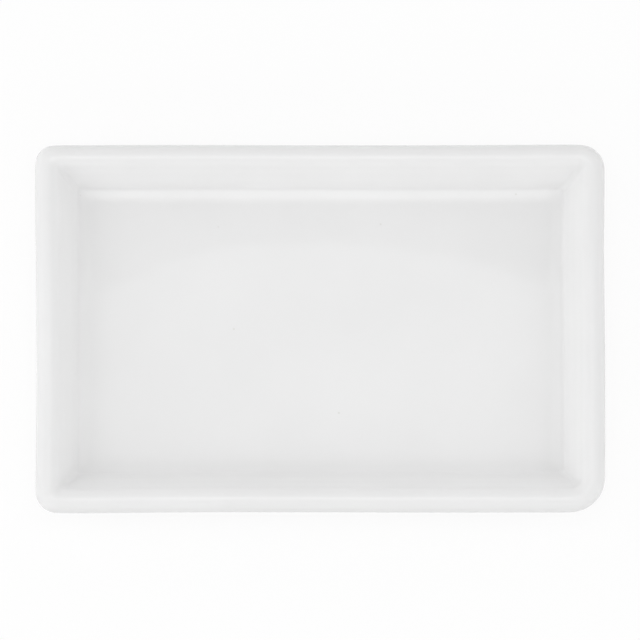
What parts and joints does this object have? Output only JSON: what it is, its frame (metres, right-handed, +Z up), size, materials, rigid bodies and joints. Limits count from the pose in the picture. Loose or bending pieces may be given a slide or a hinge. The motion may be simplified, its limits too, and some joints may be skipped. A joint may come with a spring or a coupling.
{
  "type": "wet palette tray",
  "caption": "Shallow rectangular glazed ceramic palette tray with a thick rolled rim, sloping walls and a flat bed, on stick-on bumper feet.",
  "frame": {"origin": "middle of the tray on the table under its feet", "axes": "+X along the long side to the right, +Y to the back, +Z up"},
  "size_m": [0.2286, 0.15, 0.022],
  "materials": {
    "glazed_porcelain": "gloss",
    "silicone_rubber": "matte",
    "acrylic_adhesive": "matte"
  },
  "bodies": {
    "root": {"glazed_tray": "glazed_porcelain", "foot_front_left": "silicone_rubber", "adhesive_front_left": "acrylic_adhesive", "foot_front_right": "silicone_rubber", "adhesive_front_right": "acrylic_adhesive", "foot_back_left": "silicone_rubber", "adhesive_back_left": "acrylic_adhesive", "foot_back_right": "silicone_rubber", "adhesive_back_right": "acrylic_adhesive"}
  },
  "joints": []
}
